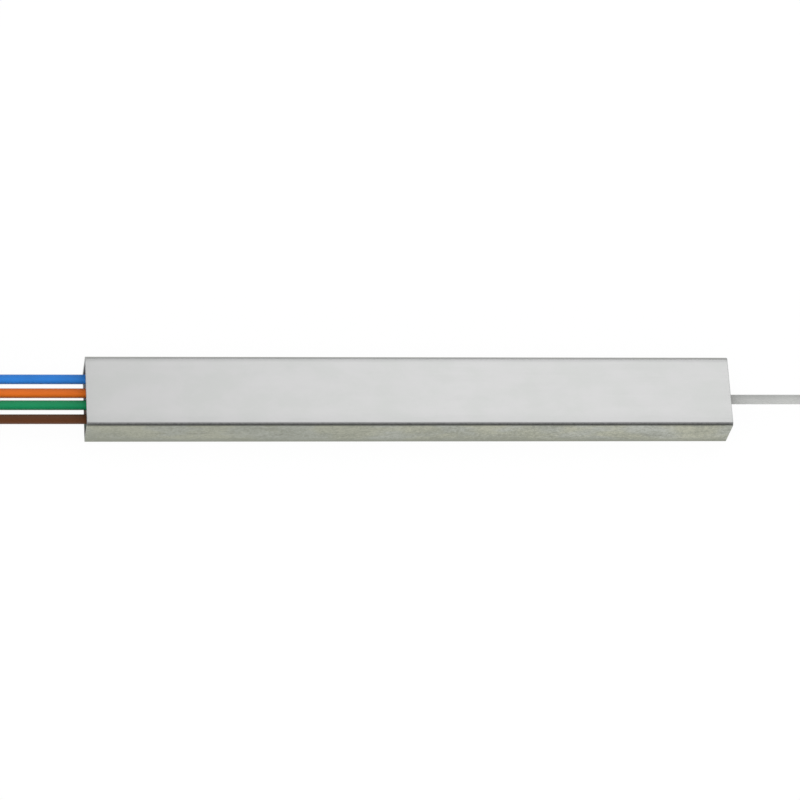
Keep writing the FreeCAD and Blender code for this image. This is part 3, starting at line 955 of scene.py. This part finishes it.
class InnerParts:
    """Everything between the end plugs, and the plugs themselves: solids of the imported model, dressed."""

    def dress(self, nodes: list[str], material: bpy.types.Material) -> None:
        """Gives some nodes one material.

        Args:
            nodes: The nodes' names.
            material: What they are made of.
        """
        for name in nodes:
            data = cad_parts[name].data
            data.materials.clear()
            data.materials.append(material)
            LOG.info("dressed %s in %s", name, material.name)

    def build(self) -> None:
        """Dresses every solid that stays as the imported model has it."""
        rubber = Speckled(
            "plug_rubber", linear(34, 34, 36), linear(52, 52, 54), roughness=0.62, grain=6.0, depth_mm=0.02
        )
        self.dress(["output_end_plug", "input_end_plug"], rubber.build())
        clear = (("Transmission_Weight", 0.35), ("IOR", 1.5))
        resin = Speckled(
            "potting_resin",
            linear(196, 172, 116),
            linear(176, 148, 92),
            roughness=0.16,
            grain=2.0,
            depth_mm=0.006,
            sockets=clear,
        )
        self.dress(["output_potting", "input_potting"], resin.build())
        self.dress(["carrier_channel"], RolledSheet().build())
        pads = Speckled(
            "pad_silicone",
            linear(226, 228, 228),
            linear(206, 210, 212),
            roughness=0.5,
            grain=4.0,
            depth_mm=0.02,
        )
        self.dress(["output_pad", "input_pad"], pads.build())
        chip = Speckled(
            "chip_silica",
            linear(92, 104, 132),
            linear(120, 96, 140),
            roughness=0.08,
            grain=1.2,
            depth_mm=0.001,
            sockets=(("Metallic", 0.4),),
        )
        self.dress(["plc_chip"], chip.build())
        glass = Speckled(
            "array_glass",
            linear(222, 232, 230),
            linear(202, 216, 214),
            roughness=0.2,
            grain=8.0,
            depth_mm=0.004,
            sockets=(("Transmission_Weight", 0.8), ("IOR", 1.47)),
        )
        glass_nodes = ["chip_lid_output", "chip_lid_input", "output_array_base", "output_array_lid"]
        self.dress([*glass_nodes, "input_array_base", "input_array_lid"], glass.build())
        bead = Speckled(
            "array_resin",
            linear(214, 198, 146),
            linear(198, 178, 120),
            roughness=0.12,
            grain=2.0,
            depth_mm=0.004,
            sockets=clear,
        )
        self.dress(["output_array_glue", "input_array_glue"], bead.build())
        ribbon = Speckled(
            "ribbon_acrylate",
            linear(228, 230, 226),
            linear(212, 216, 210),
            roughness=0.25,
            grain=6.0,
            depth_mm=0.003,
        )
        self.dress(["ribbon_jacket"], ribbon.build())
        natural = self.coating("fibre_natural", linear(224, 226, 224), linear(206, 208, 206))
        self.dress(["input_fibre"], natural)
        for number, jacket in enumerate((Jacket.BLUE, Jacket.ORANGE, Jacket.GREEN, Jacket.BROWN), 1):
            paler = tuple(0.8 * share + 0.04 for share in jacket.value)
            coating = self.coating(f"coating_{jacket.name.lower()}", jacket.value, paler)
            self.dress([f"output_fibre_{number}"], coating)

    def coating(self, name: str, colour: Colour, second: Colour) -> bpy.types.Material:
        """The thin glossy coating of a fibre."""
        return Speckled(name, colour, second, roughness=0.25, grain=12.0, depth_mm=0.002).build()


# ---------------------------------------------------------------- studio


@dataclass(frozen=True)
class SoftLamp:
    """A square soft lamp that points at the part.

    Attributes:
        name: The lamp's name.
        place: Where it hangs.
        size: The length of its sides.
        watts: Its power.
        mirrored: Whether glossy surfaces show it.
    """

    name: str
    place: tuple[float, float, float]
    size: float
    watts: float
    mirrored: bool = True

    def build(self) -> None:
        """Adds the lamp to the scene."""
        data = bpy.data.lights.new(self.name, "AREA")
        data.shape = "SQUARE"
        data.size = self.size
        data.energy = self.watts
        lamp = bpy.data.objects.new(self.name, data)
        lamp.location = self.place
        lamp.rotation_mode = "QUATERNION"
        lamp.rotation_quaternion = Vector(self.place).to_track_quat("Z", "Y")
        lamp.visible_glossy = self.mirrored
        bpy.context.scene.collection.objects.link(lamp)


@dataclass(frozen=True)
class Studio:
    """A pale floor, a softbox overhead, two fills in front, and a sky with a dark band at the front.

    Attributes:
        floor_colour: The paper's colour.
        floor_width: The length of the floor's sides.
        paper_white: How much of the floor shows as plain white, next to its lit paper.
        low_sky: How bright the sky is round the part.
        high_sky: How bright it is overhead.
        climb: The heights from which the sky turns to that.
        dark_band: How bright the band is that the front bends mirror.
        band_x: Where the band's middle lies along X.
        band_front: How far to the front the band is full, and where it ends.
        band_aside: How far aside of its middle it is full, and where it ends.
        lamps: The lamps.
    """

    floor_colour: Colour = linear(248, 248, 248)
    floor_width: float = 8.0
    paper_white: float = 0.95
    low_sky: float = 1.2
    high_sky: float = 0.85
    climb: Span = (0.3, 0.95)
    dark_band: float = 0.02
    band_x: float = 0.14
    band_front: Span = (-0.7, -0.1)
    band_aside: Span = (0.2, 0.55)
    lamps: tuple[SoftLamp, ...] = (
        SoftLamp("overhead_softbox", (0.135, 0.28, 0.66), size=0.27, watts=0.35),
        SoftLamp("upper_fill", (-0.12, -0.5, 0.85), size=0.45, watts=2.0, mirrored=False),
        SoftLamp("lower_fill", (-0.10, -0.8, 0.22), size=0.45, watts=3.4, mirrored=False),
    )

    def build(self) -> None:
        """Makes the floor, the world and the lamps."""
        self.floor()
        self.world()
        for lamp in self.lamps:
            lamp.build()

    def floor(self) -> None:
        """Makes the floor, just under the part."""
        mesh = bmesh.new()
        bmesh.ops.create_grid(mesh, x_segments=8, y_segments=8, size=self.floor_width / 2)
        data = bpy.data.meshes.new("floor")
        mesh.to_mesh(data)
        mesh.free()
        floor = bpy.data.objects.new("floor", data)
        bpy.context.scene.collection.objects.link(floor)
        data.materials.append(self.paper())

    def paper(self) -> bpy.types.Material:
        """Makes the floor's white paper, which keeps a faint shadow.

        The eye, metal and glass see it mostly as plain white. To other light it is paper.

        Returns:
            The material.
        """
        graph = MaterialGraph("floor_paper", self.floor_colour, Roughness=0.9, Specular_IOR_Level=0.1)
        rays = graph.node("ShaderNodeLightPath").outputs
        seen = graph.math("MAXIMUM", rays["Is Camera Ray"], rays["Is Glossy Ray"])
        seen = graph.math("MAXIMUM", seen, rays["Is Transmission Ray"])
        white = graph.node("ShaderNodeEmission", {"Color": (1, 1, 1, 1), "Strength": 1.0})
        share = graph.math("MULTIPLY", seen, self.paper_white)
        inputs = {0: share, 1: graph.shader.outputs[0], 2: white.outputs[0]}
        mixed = graph.node("ShaderNodeMixShader", inputs)
        graph.tree.links.new(mixed.outputs[0], graph.end.inputs["Surface"])
        return graph.material

    def world(self) -> None:
        """Makes the sky."""
        world = bpy.data.worlds.new("studio")
        world.use_nodes = True
        bpy.context.scene.world = world
        graph = Graph(world.node_tree)
        direction = graph.node("ShaderNodeTexCoord").outputs["Generated"]
        axes = graph.node("ShaderNodeSeparateXYZ", {0: direction})
        up = graph.spread(axes.outputs[2], *self.climb)
        front = graph.spread(axes.outputs[1], *self.band_front, 1.0, 0.0)
        aside = graph.math("ABSOLUTE", graph.math("SUBTRACT", axes.outputs[0], self.band_x))
        narrow = graph.math("MULTIPLY", front, graph.spread(aside, *self.band_aside, 1.0, 0.0))
        low_grey, dark_grey, high_grey = ((x, x, x) for x in (self.low_sky, self.dark_band, self.high_sky))
        sky = graph.blend(up, graph.blend(narrow, low_grey, dark_grey), high_grey)
        background = graph.node("ShaderNodeBackground", {"Color": sky, "Strength": 1.0})
        graph.node("ShaderNodeOutputWorld", {"Surface": background.outputs[0]})


@dataclass(frozen=True)
class ViewCamera:
    """The camera: above and in front of the part, rolled so that the housing lies level.

    Attributes:
        target: What it looks at.
        azimuth: Degrees round the part from the front.
        elevation: Degrees above the horizon.
        roll: Degrees that it is turned about its own axis.
        distance: From the target.
        lens: Its focal length in millimetres.
        sensor: Its sensor's width in millimetres.
        clip: The nearest and the furthest that it sees.
    """

    target: tuple[float, float, float] = (-0.819 * MM, -0.061 * MM, 2.0 * MM)
    azimuth: float = -18.50
    elevation: float = 64.64
    roll: float = 16.842
    distance: float = 0.4
    lens: float = 194.39
    sensor: float = 36.0
    clip: Span = (0.01, 20.0)

    def build(self) -> None:
        """Makes the camera and gives it to the scene."""
        around, above, turn = (math.radians(x) for x in (self.azimuth, self.elevation, self.roll))
        back = Vector(
            (math.sin(around) * math.cos(above), -math.cos(around) * math.cos(above), math.sin(above))
        )
        right = Vector((math.cos(around), math.sin(around), 0))
        up = back.cross(right)
        level = right * math.cos(turn) + up * math.sin(turn)
        upright = up * math.cos(turn) - right * math.sin(turn)
        place = Vector(self.target) + back * self.distance
        data = bpy.data.cameras.new("camera")
        data.lens = self.lens
        data.sensor_width = self.sensor
        data.clip_start, data.clip_end = self.clip
        camera = bpy.data.objects.new("camera", data)
        columns = Matrix((level, upright, back)).transposed()
        camera.matrix_world = Matrix.Translation(place) @ columns.to_4x4()
        bpy.context.scene.collection.objects.link(camera)
        bpy.context.scene.camera = camera


# ---------------------------------------------------------------- assembly


@dataclass
class OutputSide:
    """The four coloured loose tubes, their shared hank and its two ties.

    Attributes:
        outlets_mm: Where the tubes leave the housing, from the rear to the front.
        jackets: Their colours, in the same order.
        half_laps: How many half laps each has in the hank.
        pitch: From one tube to the next where they reach the hank.
    """

    outlets_mm: tuple[float, ...] = (2.0, 0.6, -0.6, -2.0)
    jackets: tuple[Jacket, ...] = (Jacket.BLUE, Jacket.ORANGE, Jacket.GREEN, Jacket.BROWN)
    half_laps: int = 27
    pitch: float = 0.92 * MM

    def winding(self) -> Winding:
        """The hank's turns."""
        return Winding(
            node="output_hank",
            way=-1,
            straight=19.0 * MM,
            outer_radius=7.6 * MM,
            bulk_radius=8.33 * MM,
            slots=6,
            starts=4,
        )

    def build(self, plastic: bpy.types.Material) -> None:
        """Makes the ties, then the tubes.

        Args:
            plastic: The ties' material.
        """
        ties = [TwistTie(f"output_tie_{side}", -1).build(plastic) for side in ("front", "rear")]
        last = len(self.jackets) - 1
        for i, (outlet, jacket) in enumerate(zip(self.outlets_mm, self.jackets)):
            colour = jacket.name.lower()
            tube = LooseTube(
                name=f"loose_tube_{colour}",
                node=f"output_tube_{i + 1}",
                jacket=jacket,
                slot=f"loose_tube_{colour}",
                way=-1,
                outlet_y=outlet * MM,
                row_y=(last / 2 - i) * self.pitch,
                drop_x=40.2 * MM,
                straight_x=37.0 * MM,
                start_slot=last - i,
                half_laps=self.half_laps,
            )
            tube.build(self.winding(), "output_hank", ties)


@dataclass
class InputSide:
    """The grey loose tube, its hank and its two ties.

    Attributes:
        half_laps: How many half laps the tube has in the hank.
    """

    half_laps: int = 31

    def winding(self) -> Winding:
        """The hank's turns."""
        return Winding(
            node="input_hank",
            way=1,
            straight=14.2 * MM,
            outer_radius=6.76 * MM,
            bulk_radius=7.49 * MM,
            slots=4,
            starts=1,
        )

    def build(self, plastic: bpy.types.Material) -> None:
        """Makes the ties, then the tube.

        Args:
            plastic: The ties' material.
        """
        ties = [TwistTie(f"input_tie_{side}", 1).build(plastic) for side in ("front", "rear")]
        tube = LooseTube(
            name="loose_tube_grey",
            node="input_tube",
            jacket=Jacket.GREY,
            slot="loose_tube_grey",
            way=1,
            outlet_y=0.0,
            row_y=0.0,
            drop_x=38.4 * MM,
            straight_x=35.0 * MM,
            start_slot=0,
            half_laps=self.half_laps,
        )
        tube.build(self.winding(), "input_hank", ties)


def main() -> None:
    """Builds the part from its housing outwards, then the studio and the camera."""
    logging.basicConfig(level=logging.INFO, format="%(name)s: %(message)s")
    bpy.context.scene.view_settings.view_transform = "Standard"
    Housing().build()
    InnerParts().build()
    tie_plastic = Speckled("tie_plastic", linear(30, 31, 33), linear(48, 49, 52), roughness=0.4, grain=7.0)
    plastic = tie_plastic.build()
    OutputSide().build(plastic)
    InputSide().build(plastic)
    Studio().build()
    ViewCamera().build()


if __name__ == "__main__":
    main()
